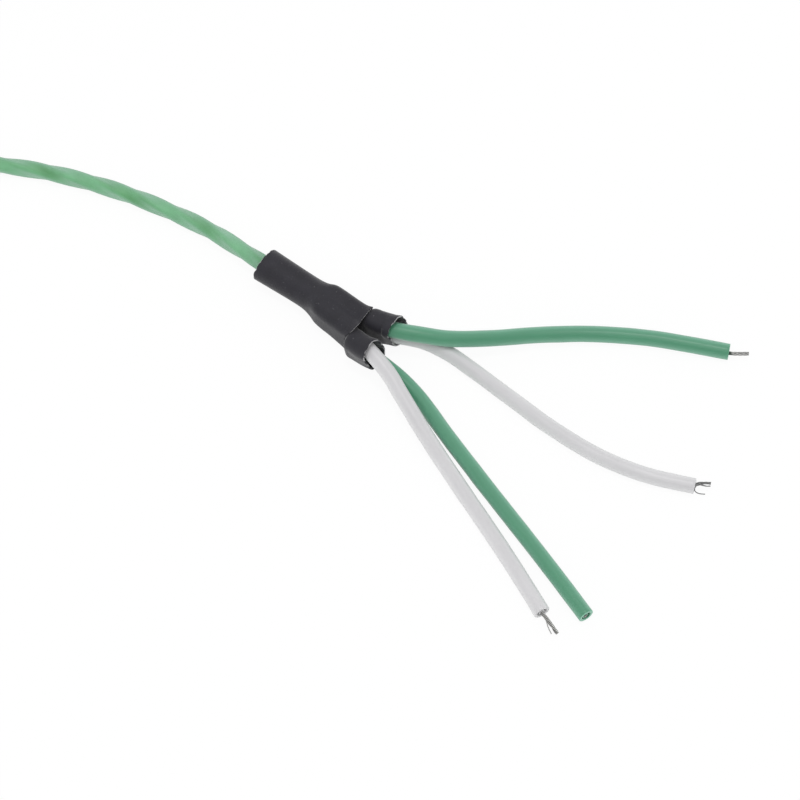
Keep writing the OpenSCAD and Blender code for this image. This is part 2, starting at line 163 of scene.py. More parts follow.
def rounded(a, b, out_a, into_b, t):
    """Part of the way from a to b, leaving and arriving with given slopes."""
    return (a * (2 * t ** 3 - 3 * t ** 2 + 1) + b * (3 * t ** 2 - 2 * t ** 3)
            + out_a * (t ** 3 - 2 * t ** 2 + t) + into_b * (t ** 3 - t ** 2))


def smooth(points, step):
    """A rounded curve through the points, as points about a step apart."""
    ends = [2 * points[0] - points[1]] + list(points) + [2 * points[-1] - points[-2]]
    dense, pieces = [], 16
    for before, a, b, after in zip(ends, ends[1:], ends[2:], ends[3:]):
        k0, k1, k2 = (max((q - p).length, 1e-6) ** 0.5 for p, q in ((before, a), (a, b), (b, after)))
        out_a = ((a - before) / k0 - (b - before) / (k0 + k1) + (b - a) / k1) * k1
        into_b = ((b - a) / k1 - (after - a) / (k1 + k2) + (after - b) / k2) * k1
        dense += [rounded(a, b, out_a, into_b, n / pieces) for n in range(pieces)]
    return evenly(dense + [points[-1]], step)


def ease(t):
    """From 0 to 1 with a soft start and end."""
    t = min(1.0, max(0.0, t))
    return t * t * (3 - 2 * t)


def directions(points):
    """Unit direction at each point of a route."""
    last = len(points) - 1
    return [(points[min(i + 1, last)] - points[max(i - 1, 0)]).normalized() for i in range(last + 1)]


# Places that the source gives
NOSE_START, POT_RADIUS, SHEATH_RADIUS, TIP = 24.0, 3.0, 1.5, 180.0
REACH = TIP - SHEATH_RADIUS - NOSE_START
LAY_ANGLE = math.acos(SHEATH_RADIUS / math.hypot(POT_RADIUS, REACH)) - math.atan2(REACH, POT_RADIUS)


def on_axis(x):
    """A point on the probe's axis, which leans from the pot down to the tip."""
    c, s = math.cos(LAY_ANGLE), math.sin(LAY_ANGLE)
    return Vector((NOSE_START + (x - NOSE_START) * c + POT_RADIUS * s, 0,
                   POT_RADIUS * c - (x - NOSE_START) * s)) + LEAD


COIL_CENTRE = Vector((-40.0, -18.3, 0.0)) + LEAD
# Radius of the innermost turn, and height of the cable's middle where it lies on the floor
INNER_TURN, LYING = 9.85, 1.33
# Column and row of each turn, in the order in which they are wound
TURNS = [(3, 0), (2, 0), (1, 0), (0, 0), (0, 1), (0, 2), (1, 2), (1, 1), (2, 1), (2, 2), (3, 1)]
WIND_START, WIND_END, COIL_STEP = 90, 3870, 10
# Degrees at which the cable first crosses to its next turn, by how much each crossing
# comes sooner than the last, and over which it crosses
FIRST_CROSSING, CROSSING_SHIFT, CROSSING = 68, 13, 36
# Where on the coil the tie is, and how high and how far the turns ride up over it
TIE_TURN, TIE_LIFT, TIE_REACH = 200, 0.5, 15


def turn_place(angle):
    """Column and row, in turn spacings, of the cable at an angle along the winding."""
    column, row = TURNS[0]
    for k, (a, b) in enumerate(zip(TURNS, TURNS[1:])):
        t = ease((angle - (FIRST_CROSSING + 360 * (k + 1) - CROSSING_SHIFT * k)) / CROSSING + 0.5)
        if k == len(TURNS) - 2:
            # The last crossing rolls over the turn beside it
            column += (b[0] - a[0]) * math.sin(t * math.pi / 2)
            row += (b[1] - a[1]) * (1 - math.cos(t * math.pi / 2))
        else:
            column += (b[0] - a[0]) * t
            row += (b[1] - a[1]) * t
    return column, row


def tie_lift(angle):
    """How far the turns ride up where the tie passes under them."""
    off = (angle - TIE_TURN + 180) % 360 - 180
    return TIE_LIFT * math.exp(-(off / TIE_REACH) ** 2)


def coil_points(pitch):
    points = []
    for angle in range(WIND_START, WIND_END + 1, COIL_STEP):
        column, row = turn_place(angle)
        turn = math.radians(angle)
        r = INNER_TURN + column * pitch
        points.append(COIL_CENTRE + Vector((r * math.cos(turn), r * math.sin(turn),
                                            LYING + row * pitch + tie_lift(angle))))
    return points


PROBE_RUN = [on_axis(7), on_axis(0), on_axis(-9), on_axis(-18.3)] + lead(
    [(-21.5, -0.2, 3), (-25, -0.7, 2), (-28.5, -0.95, LYING), (-32, -0.95, LYING), (-36, -0.95, LYING)])
SPLIT_RUN = lead([
    (-36, -35.65, 3.775), (-32, -35.65, 3.775), (-28.5, -35.65, 3.775), (-25, -35.8, 3.2),
    (-20, -36.3, 2.3), (-13, -37.4, 1.6), (-6, -38.7, 1.3), (0, -39.9, 1.3),
    (6.6, -41.1, 1.3), (13.3, -43, 1.3), (19.7, -45.4, 1.3), (26, -48.4, 1.3),
    (31.9, -51.9, 1.6), (36.1, -55.2, 2.1), (40.1, -58.4, 2.5)])

SPLIT_AT = Vector((40.1, -58.5, 0)) + LEAD
SPLIT_TURN = math.radians(38)
SPLIT_DIR = Vector((math.cos(SPLIT_TURN), -math.sin(SPLIT_TURN), 0))
SPLIT_SIDE = Vector((math.sin(SPLIT_TURN), math.cos(SPLIT_TURN), 0))


def in_split(s, n, z):
    """A point in the split sleeve: along it, sideways and up."""
    return SPLIT_AT + s * SPLIT_DIR + n * SPLIT_SIDE + z * UP


TAIL_ROUTES = {
    "green_1": lead([
        (49, -64, 3.8), (52.3, -66.4, 3.8), (54.6, -68.2, 3.8), (56.9, -69.7, 4),
        (59.2, -70.7, 4.2), (63.1, -71.45, 4.1), (67.1, -71.8, 3.6), (73, -71.2, 2.7),
        (80, -70.1, 1.8), (88, -69.6, 1.3), (96, -70.2, 1.2), (102, -71.3, 1.2),
        (107.95, -72.6, 1.2)]),
    "white_1": lead([
        (49, -64, 1.65), (52.3, -66.4, 1.65), (54.6, -68.2, 1.7), (56.9, -69.63, 1.8),
        (59.3, -70.25, 1.9), (63.2, -71.05, 1.7), (66.9, -72.85, 1.4), (70.77, -75.85, 1.2),
        (75.97, -80.36, 1.2), (81.97, -85.46, 1.2), (88.77, -90.16, 1.2), (95.18, -93.06, 1.2),
        (102, -94.86, 1.2)]),
    "green_2": lead([
        (47.6, -65.8, 1.65), (50.7, -68.5, 1.65), (52.6, -70.4, 1.75), (54.7, -72.4, 1.85),
        (57.2, -74.8, 1.9), (60.2, -77.4, 1.5), (62.8, -80.4, 1.2), (66.8, -86.7, 1.2),
        (71.5, -93.8, 1.2), (76.6, -101.3, 1.2), (81.5, -108.6, 1.2),
        (85.95, -115.45, 1.2)]),
    "white_2": lead([
        (47.6, -65.8, 3.8), (50.7, -68.5, 3.8), (52.6, -70.45, 3.85), (54.15, -72.4, 4.1),
        (55.9, -74.6, 4.2), (58.3, -77.6, 3.6), (60.3, -81, 2.8), (63.9, -87.3, 1.8),
        (68.3, -94.7, 1.3), (72.9, -102.4, 1.2), (76.8, -109.3, 1.2),
        (79.8, -114.9, 1.2)]),
}
# Where the strands of each tail run on from its end, and the strands that go their own way
STRAND_ENDS = {
    "green_1": (lead([(108.4, -72.88, 1.2), (109.6, -72.92, 1.2), (110.8, -72.87, 1.15)]), {}),
    "white_1": (lead([(102.5, -94.6, 1.42), (103.2, -94.56, 1.4), (104.25, -94.55, 1.34)]), {
        2: lead([(102.5, -94.64, 1.36), (103.1, -94.72, 1.26), (103.7, -94.86, 1.2), (104.2, -94.85, 1.2)]),
        3: lead([(102.5, -94.66, 1.34), (103, -94.74, 1.24), (103.6, -94.84, 1.16), (104.15, -94.8, 1.16)]),
        4: lead([(101.95, -95.05, 0.8), (102.02, -95.32, 0.55), (102.3, -95.5, 0.42), (102.8, -95.64, 0.36),
                 (103.45, -95.68, 0.34)])}),
    "green_2": ([], {}),
    "white_2": (lead([(80.6, -116.1, 1.17), (81.2, -117.05, 1.12), (81.85, -118.05, 1.1)]), {
        4: lead([(80.35, -116.05, 1.0), (80.62, -117, 0.8), (81.05, -117.95, 0.7)])}),
}
# Radius of a tail, how much its sleeve squeezes it, and how far on it is at its full girth
TAIL_RADIUS, SQUEEZE, SWELL_RUN = 1.15, 0.1, 4.5
# Distance between points of a strand, its twist in degrees from one to the next, how far
# apart strands lie in diameters, and over what length a strand parts from the others
STRAND_STEP, STRAND_TWIST, STRAND_GAP, PARTING_RUN, MIDDLE_STRAND = 0.2, 16, 1.08, 0.8, 6
# How thin the strands that go their own way look beside the others
APART_GIRTH = 0.82
# How far back in its tail each core ends, and how far off the middle it lies there
STRIP_BACK = {"green_1": 0.6, "white_1": 0.5, "green_2": 0.1, "white_2": 0.08}
OFF_MIDDLE = {"green_1": Vector((0, -0.08, -0.2)), "white_1": Vector((0, 0.2, 0.24)),
              "green_2": Vector((-0.08, -0.03, 0.05)), "white_2": Vector((0, -0.05, 0.05))}
# How each tail's girth differs from the mean
TAIL_GIRTHS = {"green_1": 1.05, "white_1": 1.0, "green_2": 1.01, "white_2": 1.03}
# How far the cable reaches into the split sleeve and how high it lies there, and where its
# four cores are in it
CABLE_IN_SPLIT, CABLE_HEIGHT, CORE_SPREAD = 3.5, 2.5, 0.445
CORE_CORNERS = {"green_1": (1, 1), "white_1": (1, -1), "green_2": (-1, -1), "white_2": (-1, 1)}
# How far clear of the cable a core starts, how far before its end it leaves the middle of
# its tail, and how far past its end the strands stay together
CORE_CLEAR, LAST_BEND, BUNCHED = 0.01, 2.5, 0.02


# Nodes

WHITE = (1, 1, 1)
SOFT_SHEEN = {"Sheen Weight": 0.25, "Sheen Roughness": 0.35}
# How often a metal's fine lines repeat in a metre along each axis
DRAWN, TURNED, WIRE, EVEN = ((20.0, 1500.0, 1500.0), (4000.0, 40.0, 40.0), (30.0, 2000.0, 2000.0),
                             (900.0, 900.0, 900.0))
# What kind of socket a group gets for a default value
SOCKETS = {bool: "Bool", int: "Int", float: "Float", tuple: "Vector"}


def set_all(thing, **settings):
    """Sets several of a thing's properties, and gives it back."""
    for key, value in settings.items():
        setattr(thing, key, value)
    return thing


def feed(tree, node, inputs):
    """Links each input to its socket, or sets it to its plain value."""
    for key, given in inputs.items():
        socket = node.inputs[key]
        if isinstance(given, bpy.types.NodeSocket):
            tree.links.new(given, socket)
        else:
            socket.default_value = (*given, 1.0) if socket.type == "RGBA" else given


def place(tree, kind, inputs=None, **settings):
    """Adds a node, sets its options and feeds its inputs."""
    node = set_all(tree.nodes.new(kind), **settings)
    feed(tree, node, inputs or {})
    return node


def result(tree, kind, inputs=None, **settings):
    """The first output of a new node."""
    return place(tree, kind, inputs, **settings).outputs[0]


def maths(tree, operation, *terms, **settings):
    return result(tree, "ShaderNodeMath", dict(enumerate(terms)), operation=operation, **settings)


def scaled(tree, vector, factor):
    return result(tree, "ShaderNodeVectorMath", {0: vector, "Scale": factor}, operation="SCALE")


def stretched(tree, vector, factors):
    return result(tree, "ShaderNodeVectorMath", {0: vector, 1: factors}, operation="MULTIPLY")


def parts_of(tree, vector):
    return place(tree, "ShaderNodeSeparateXYZ", {0: vector}).outputs


def clouds(tree, vector, scale=1.0, detail=2.0, roughness=0.5):
    """Noise from 0 to 1."""
    return result(tree, "ShaderNodeTexNoise",
                  {"Vector": vector, "Scale": scale, "Detail": detail, "Roughness": roughness})


def ranged(tree, value, start=(0.0, 1.0), end=(0.0, 1.0), **settings):
    """A value carried from one range to another, and held within it."""
    return result(tree, "ShaderNodeMapRange", {"Value": value, "From Min": start[0], "From Max": start[1],
                                               "To Min": end[0], "To Max": end[1]}, **settings)


def blend_colours(tree, factor, a, b):
    """A mix of two colours, each a socket or a plain colour."""
    mix = place(tree, "ShaderNodeMix", {"Factor": factor}, data_type="RGBA")
    for key, given in (("A", a), ("B", b)):
        index = next(i for i, s in enumerate(mix.inputs) if s.name == key and s.type == "RGBA")
        feed(tree, mix, {index: given})
    return next(s for s in mix.outputs if s.type == "RGBA")


def new_group(name, kind, inputs, outputs):
    """A node group whose inputs are named with a kind or a default, and its outputs with a kind.

    Gives its tree, what comes in, and the node that puts out."""
    tree = bpy.data.node_groups.new(name, kind)
    for label, given in inputs.items():
        socket = SOCKETS.get(type(given), given)
        item = tree.interface.new_socket(label, in_out="INPUT", socket_type="NodeSocket" + socket)
        if socket != given:
            item.default_value = given
    for label, socket in outputs.items():
        tree.interface.new_socket(label, in_out="OUTPUT", socket_type="NodeSocket" + socket)
    return tree, tree.nodes.new("NodeGroupInput").outputs, tree.nodes.new("NodeGroupOutput")


def mottle_group():
    """Soft clouds of lighter and darker tone over a colour."""
    tree, put, out = new_group(
        "soft_mottle", "ShaderNodeTree",
        {"Colour": "Color", "Vector": "Vector", "Scale": 100.0, "Amount": 0.1}, {"Colour": "Color"})
    cloud = clouds(tree, put["Vector"], put["Scale"], detail=4.0, roughness=0.55)
    swing = maths(tree, "MULTIPLY", maths(tree, "SUBTRACT", cloud, 0.5), put["Amount"])
    tone = scaled(tree, put["Colour"], maths(tree, "MULTIPLY_ADD", swing, 3.0, 1.0))
    feed(tree, out, {"Colour": tone})


def grain_group():
    """Height of a fine surface grain over broader unevenness."""
    tree, put, out = new_group(
        "fine_grain", "ShaderNodeTree",
        {"Vector": "Vector", "Scale": 1000.0, "Broad": 0.5}, {"Height": "Float"})
    fine = clouds(tree, put["Vector"], put["Scale"], detail=3.0, roughness=0.6)
    broad = clouds(tree, put["Vector"], maths(tree, "MULTIPLY", put["Scale"], 0.16), detail=2.0)
    feed(tree, out, {"Height": maths(tree, "MULTIPLY_ADD", broad, put["Broad"], fine)})


def rim_scuffs_and_highlights_group():
    """Scuffs and painted highlights: a pale colour that comes through in patches near a rim."""
    tree, put, out = new_group(
        "rim_scuffs_and_highlights", "ShaderNodeTree",
        {"Colour": "Color", "Scuff And Highlight": "Color", "Rim": 0.0, "Vector": "Vector", "Scale": 1500.0, "Amount": 0.8},
        {"Colour": "Color"})
    patch = clouds(tree, put["Vector"], put["Scale"], detail=3.0)
    mask = ranged(tree, maths(tree, "MULTIPLY", put["Rim"], patch), start=(0.49, 0.57),
                  end=(0.0, put["Amount"]), interpolation_type="SMOOTHSTEP")
    feed(tree, out, {"Colour": blend_colours(tree, mask, put["Colour"], put["Scuff And Highlight"])})


def draw_marks_group():
    """Fine lines drawn out along one axis, as on drawn tube and wire."""
    tree, put, out = new_group(
        "draw_marks", "ShaderNodeTree", {"Vector": "Vector", "Stretch": DRAWN},
        {"Height": "Float", "Mask": "Float"})
    lines = clouds(tree, stretched(tree, put["Vector"], put["Stretch"]), detail=5.0)
    feed(tree, out, {"Height": lines, "Mask": ranged(tree, lines, start=(0.35, 0.65))})


def use(tree, group, inputs):
    """The outputs of a shared group placed in a material."""
    return place(tree, "ShaderNodeGroup", inputs, node_tree=bpy.data.node_groups[group]).outputs


def mottled(tree, paint, where, scale, amount):
    return use(tree, "soft_mottle", {"Colour": paint, "Vector": where, "Scale": scale,
                                     "Amount": amount})["Colour"]


def new_material(name, values):
    """A material with its node tree and its Principled shader, which gets plain values."""
    material = bpy.data.materials.new(name)
    material.use_nodes = True
    tree = material.node_tree
    shader = next(n for n in tree.nodes if n.type == "BSDF_PRINCIPLED")
    feed(tree, shader, values)
    return material, tree, shader


def add_bump(tree, shader, height, depth, strength):
    """A relief of a depth in millimetres."""
    bump = result(tree, "ShaderNodeBump", {"Height": height, "Distance": depth * MM, "Strength": strength})
    feed(tree, shader, {"Normal": bump})


def paint_grained(tree, shader, paint, where, scale, broad, depth, strength):
    """Gives a shader its colour and a fine grain."""
    feed(tree, shader, {"Base Color": paint})
    grain = use(tree, "fine_grain", {"Vector": where, "Scale": scale, "Broad": broad})
    add_bump(tree, shader, grain["Height"], depth, strength)


def painted_sheen(tree, paint, edge, amount):
    """A painted sheen: a paler tone of the colour, painted where the surface turns away from the view."""
    away = place(tree, "ShaderNodeLayerWeight", {"Blend": 0.5}).outputs["Facing"]
    return blend_colours(tree, ranged(tree, away, start=(0.03, 0.4), end=(0.0, amount)), paint, edge)


def along_coords(tree):
    """Coordinates that follow a piece: round it in x and y, along it in z."""
    return place(tree, "ShaderNodeAttribute", attribute_name="along").outputs["Vector"]


def jacket_material(cable):
    """The lead's jacket: two greens that wind with the cores under it, paled by a painted sheen where it turns
    away from the view.
    """
    material, tree, shader = new_material("cable_jacket", {"Roughness": 0.5, **SOFT_SHEEN})
    along = along_coords(tree)
    streak = clouds(tree, stretched(tree, along, (1500.0, 1500.0, 140.0)), detail=3.0)
    parts = parts_of(tree, along)
    # Twice the product of the two, over the radius squared, is the sine of twice the angle
    radius = 1.225 * MM
    lobes = maths(tree, "MULTIPLY", maths(tree, "MULTIPLY", parts["X"], parts["Y"]), 2 / radius ** 2)
    over = ranged(tree, lobes, start=(-1.0, 1.0), end=(-0.1, 0.6))
    mask = maths(tree, "ADD", streak, over, use_clamp=True)
    toned = mottled(tree, blend_colours(tree, mask, cable.deep, cable.light), along, scale=420.0, amount=0.17)
    # Painted sheen: the jacket's colour turns towards its edge colour where it faces away from the view
    paint_grained(tree, shader, painted_sheen(tree, toned, cable.edge, amount=0.6), along,
                  scale=2600.0, broad=0.7, depth=0.05, strength=0.25)
    return material


def tail_material(name, tone, edge, cloudiness):
    """A tail sleeve: one even colour, a little cloudy, with a soft sheen from the shader and a painted sheen in
    its colour where it turns away from the view.
    """
    material, tree, shader = new_material(name, {
        "Roughness": 0.46, "Coat Weight": 0.25, "Coat Roughness": 0.3, "Subsurface Weight": 0.12,
        "Subsurface Radius": WHITE, "Subsurface Scale": 0.3 * MM, **SOFT_SHEEN})
    along = along_coords(tree)
    lines = clouds(tree, stretched(tree, along, (700.0, 700.0, 60.0)))
    lighter = [min(1.0, c * 1.16 + 0.01) for c in tone]
    darker = [c * 0.86 for c in tone]
    toned = mottled(tree, blend_colours(tree, lines, darker, lighter), along, scale=180.0, amount=cloudiness)
    # Painted sheen: the tail's colour turns towards its edge colour where it faces away from the view
    paint_grained(tree, shader, painted_sheen(tree, toned, edge, amount=0.55), along,
                  scale=2200.0, broad=1.0, depth=0.04, strength=0.25)
    return material


def tail_finishes(kind, tails, green, cloudiness):
    """The green and the white of one kind of insulation."""
    return {"green": tail_material(kind + "_green", green, tails.green_painted_sheen, cloudiness),
            "white": tail_material(kind + "_white", tails.white, tails.white_painted_sheen, 0.03)}


def sleeve_material(sleeves):
    """Black shrink sleeve: matt, with grey dust, and grey patches at its rims that are partly scuffs and partly
    painted highlights.
    """
    material, tree, shader = new_material("shrunk_black", {
        "Roughness": 0.62, "IOR": 1.4, "Sheen Weight": 0.32, "Sheen Roughness": 0.4})
    along = along_coords(tree)
    rim = place(tree, "ShaderNodeAttribute", attribute_name="rim").outputs["Fac"]
    black = mottled(tree, sleeves.black, along, scale=420.0, amount=0.3)
    # Pale patches near the rims, partly scuffs and partly painted highlights
    scuff_and_highlight = use(tree, "rim_scuffs_and_highlights", {"Colour": black, "Scuff And Highlight": sleeves.scuff_and_highlight, "Rim": rim, "Vector": along,
                                  "Scale": 1100.0, "Amount": 0.9})
    specks = ranged(tree, clouds(tree, along, scale=3800.0), start=(0.68, 0.78), end=(0.0, 0.17))
    dusty = blend_colours(tree, specks, scuff_and_highlight["Colour"], sleeves.scuff_and_highlight)
    paint_grained(tree, shader, dusty, along, scale=3200.0, broad=1.8, depth=0.06, strength=0.6)
    return material


def metal_material(name, tone, roughness, stretch, tint=None):
    """Drawn or turned metal, with fine lines along or round it; tint is a heat colour and where it starts."""
    material, tree, shader = new_material(name, {"Metallic": 1.0})
    where = place(tree, "ShaderNodeTexCoord").outputs["Object"]
    marks = use(tree, "draw_marks", {"Vector": where, "Stretch": stretch})
    paint = mottled(tree, tone, where, scale=300.0, amount=0.1)
    if tint:
        heat_colour, start = tint
        heat = ranged(tree, parts_of(tree, where)["X"], start=(start, start + 5 * MM), end=(0.0, 0.65),
                      interpolation_type="SMOOTHSTEP")
        paint = blend_colours(tree, heat, paint, heat_colour)
    feed(tree, shader, {"Base Color": paint, "Roughness": ranged(
        tree, marks["Mask"], end=(roughness * 0.8, roughness * 1.25))})
    add_bump(tree, shader, marks["Height"], depth=0.01, strength=0.35)
    return material


def plain_material(name, tone, roughness, scale, amount, depth):
    """A cast, moulded or pressed filling, cloudy and grained."""
    material, tree, shader = new_material(name, {"Roughness": roughness})
    where = place(tree, "ShaderNodeTexCoord").outputs["Object"]
    paint_grained(tree, shader, mottled(tree, tone, where, scale, amount), where,
                  scale=scale * 8, broad=0.8, depth=depth, strength=0.4)
    return material


# Meshes

def add_object(name, data, material=None):
    obj = bpy.data.objects.new(name, data)
    bpy.context.scene.collection.objects.link(obj)
    if material:
        data.materials.append(material)
    return obj


def finish_piece(obj, slot, *nodes):
    """Makes a piece ride with the object and hides the solids that it stands for; slot is not used."""
    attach(obj, "root")
    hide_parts(*nodes)


def path_tree():
    """Geometry Nodes that lay a round or lobed skin along each path of a curve."""
    tree, put, out = new_group(
        "skin_along_path", "GeometryNodeTree",
        {"Geometry": "Geometry", "Ring Spacing": 0.0007, "Sides": 32, "Diameter": 0.00245, "Lobes": 0.0,
         "Lobe Height": 0.0, "Lay Length": 1.0, "Lay Start": 0.0, "Unevenness": 0.0, "Uneven Scale": 200.0,
         "Closed Ends": True, "Material": "Material"}, {"Geometry": "Geometry"})

    def add(kind, inputs=None, **settings):
        return result(tree, "GeometryNode" + kind, inputs, **settings)

    def store(name, value, geometry, kind):
        return add("StoreNamedAttribute", {"Geometry": geometry, "Value": value, "Name": name},
                   data_type=kind, domain="POINT")

    # The path, with rings at even distances and the lay as its tilt
    rings = add("ResampleCurve", {"Curve": put["Geometry"], "Length": put["Ring Spacing"]}, mode="LENGTH")
    level = add("SetCurveNormal", {"Curve": rings}, mode="Z_UP")
    run = place(tree, "GeometryNodeSplineParameter").outputs["Length"]
    turns = maths(tree, "DIVIDE", run, put["Lay Length"])
    tilt = maths(tree, "MULTIPLY_ADD", turns, -2 * math.pi, put["Lay Start"])
    marked = store("run", run, add("SetCurveTilt", {"Curve": level, "Tilt": tilt}), "FLOAT")
    # The section
    circle = add("CurvePrimitiveCircle", {"Resolution": put["Sides"], "Radius": 1.0}, mode="RADIUS")
    angle = maths(tree, "MULTIPLY", add("SplineParameter"), 2 * math.pi)
    wave = maths(tree, "COSINE", maths(tree, "MULTIPLY", angle, put["Lobes"]))
    swell = maths(tree, "MULTIPLY_ADD", wave, put["Lobe Height"], 1.0)
    spot = add("InputPosition")
    around = store("around", spot, circle, "FLOAT_VECTOR")
    section = add("SetPosition", {"Geometry": around, "Position": scaled(tree, spot, swell)})
    # Half the diameter, times each point's own radius
    girth = maths(tree, "MULTIPLY", add("InputRadius"), put["Diameter"])
    skin = add("CurveToMesh", {"Curve": marked, "Profile Curve": section,
                               "Scale": maths(tree, "MULTIPLY", girth, 0.5), "Fill Caps": put["Closed Ends"]})
    # One attribute for the finishes: round the piece in x and y, along it in z
    run_at = add("InputNamedAttribute", {"Name": "run"}, data_type="FLOAT")
    around_at = add("InputNamedAttribute", {"Name": "around"}, data_type="FLOAT_VECTOR")
    sides = parts_of(tree, scaled(tree, around_at, maths(tree, "MULTIPLY", put["Diameter"], 0.5)))
    coords = result(tree, "ShaderNodeCombineXYZ", {"X": sides["X"], "Y": sides["Y"], "Z": run_at})
    along = store("along", coords, skin, "FLOAT_VECTOR")
    # Slight unevenness
    bumps = maths(tree, "SUBTRACT", clouds(tree, coords, put["Uneven Scale"], detail=1.0), 0.5)
    offset = scaled(tree, add("InputNormal"), maths(tree, "MULTIPLY", bumps, put["Unevenness"]))
    real = add("RealizeInstances", {"Geometry": add("SetPosition", {"Geometry": along, "Offset": offset})})
    shaded = add("SetShadeSmooth", {"Geometry": real})
    feed(tree, out, {"Geometry": add("SetMaterial", {"Geometry": shaded, "Material": put["Material"]})})


def skin_paths(name, paths, material, girths=None, **values):
    """A plain mesh made by the path tree along one or more paths, given in millimetres."""
    curve = bpy.data.curves.new(name, "CURVE")
    curve.dimensions = "3D"
    for n, path in enumerate(paths):
        spline = curve.splines.new("POLY")
        spline.points.add(len(path) - 1)
        for i, p in enumerate(path):
            spline.points[i].co = (*(p * MM), 1.0)
            spline.points[i].radius = girths[n][i] if girths else 1.0
    guide = add_object(name + "_path", curve)
    modifier = guide.modifiers.new("skin", "NODES")
    tree = bpy.data.node_groups["skin_along_path"]
    modifier.node_group = tree
    sockets = {s.name: s.identifier for s in tree.interface.items_tree if s.in_out == "INPUT"}
    for key, value in {**values, "Material": material}.items():
        modifier[sockets[key.replace("_", " ")]] = value
    bpy.context.view_layer.update()
    graph = bpy.context.evaluated_depsgraph_get()
    mesh = bpy.data.meshes.new_from_object(guide.evaluated_get(graph), depsgraph=graph)
    mesh.name = name
    bpy.data.objects.remove(guide)
    bpy.data.curves.remove(curve)
    if not mesh.polygons:
        raise RuntimeError(name + ": the path tree made no faces")
    return add_object(name, mesh)


def ring_angles(sides, offset=0.0):
    return [2 * math.pi * (k + offset) / sides for k in range(sides)]


def ring_faces(count, sides):
    """Faces between rings of points, the last ring joined to the first."""
    faces = []
    for i in range(count):
        a, b = i * sides, (i + 1) % count * sides
        for k in range(sides):
            n = (k + 1) % sides
            faces.append((a + k, a + n, b + n, b + k))
    return faces


def rounded_ring(sides, a, b, r):
    """Angle and place of each point round a rounded rectangle."""
    for angle in ring_angles(sides, 0.5):
        rho = ring_radius(angle, a, b, r)
        yield angle, rho * math.cos(angle), rho * math.sin(angle)


def ring_radius(angle, a, b, r):
    """Distance to a rounded rectangle of half width a, half height b and corner radius r."""
    c, s = abs(math.cos(angle)), abs(math.sin(angle))
    if c > 1e-9 and a / c * s <= b - r:
        return a / c
    if s > 1e-9 and b / s * c <= a - r:
        return b / s
    x, y = a - r, b - r
    near = x * c + y * s
    return near + math.sqrt(max(0.0, r * r - (x * x + y * y - near * near)))


def stations_at(stations, s):
    """Values between stations, rounded through them; the first value is the distance."""
    last = len(stations) - 1
    i = next((i for i in range(last) if s <= stations[i + 1][0]), last - 1)
    a, b = stations[i], stations[i + 1]
    before, after = stations[max(i - 1, 0)], stations[min(i + 2, last)]
    t = min(1.0, max(0.0, (s - a[0]) / (b[0] - a[0])))
    out = []
    for k in range(1, len(a)):
        slope_a = (b[k] - before[k]) / (b[0] - before[0]) * (b[0] - a[0])
        slope_b = (after[k] - a[k]) / (after[0] - a[0]) * (b[0] - a[0])
        out.append(rounded(a[k], b[k], slope_a, slope_b, t))
    return out


# Turns at which a rim's rounding has its points, how far it stands out as a share of the wall,
# and how strongly scuffs and painted highlights show on the skin beside it
LIP_TURNS, LIP_REACH, SCUFF_AND_HIGHLIGHT_BESIDE = (36, 72, 108, 144), 0.45, 0.75
TURNED_SIDES, SHARP_ANGLE = 96, 28


def sleeve_mesh(name, outer, inner, along, material, scuff_and_highlight_reach):
    """A closed hollow skin from rings outside and inside, its two rims rounded and marked for scuffs and
    painted highlights.
    """
    sides = len(outer[0])

    def lip(a, b, edge, behind):
        wall = (a[0] - b[0]).length
        ways = [(p - q).normalized() for p, q in zip(edge, behind)]
        return [[p.lerp(q, (1 - math.cos(t)) / 2) + way * wall * LIP_REACH * math.sin(t)
                 for p, q, way in zip(a, b, ways)] for t in map(math.radians, LIP_TURNS)]

    rings = (outer + lip(outer[-1], inner[-1], outer[-1], outer[-2])
             + inner[::-1] + lip(inner[0], outer[0], outer[0], outer[1]))
    lips = len(LIP_TURNS)
    runs = along + [along[-1]] * lips + along[::-1] + [along[0]] * lips
    # How strongly scuffs and painted highlights show, falling off from each rim
    scuff_and_highlight_mask = [SCUFF_AND_HIGHLIGHT_BESIDE * math.exp(-min(run - along[0], along[-1] - run) / scuff_and_highlight_reach) for run in along]
    scuff_and_highlight_mask = scuff_and_highlight_mask + [1.0] * lips + scuff_and_highlight_mask[::-1] + [1.0] * lips
    mean = sum((p - sum(outer[0], Vector()) / sides).length for p in outer[0]) / sides
    mesh = bpy.data.meshes.new(name)
    mesh.from_pydata([p * MM for ring in rings for p in ring], [], ring_faces(len(rings), sides))
    mesh.shade_smooth()
    mesh.attributes.new("along", "FLOAT_VECTOR", "POINT").data.foreach_set("vector", [
        x * MM for run in runs for t in ring_angles(sides)
        for x in (mean * math.cos(t), mean * math.sin(t), run)])
    mesh.attributes.new("rim", "FLOAT", "POINT").data.foreach_set(
        "value", [scuff_and_highlight for scuff_and_highlight in scuff_and_highlight_mask for _ in range(sides)])
    mesh.update()
    return add_object(name, mesh, material)


def groove(middle, width, r):
    """A roll-crimped groove as points of a turned outline."""
    steps, half_depth = 24, 0.125
    return [(middle + width * (k / steps - 0.5), r - half_depth * (1 - math.cos(2 * math.pi * k / steps)))
            for k in range(steps + 1)]


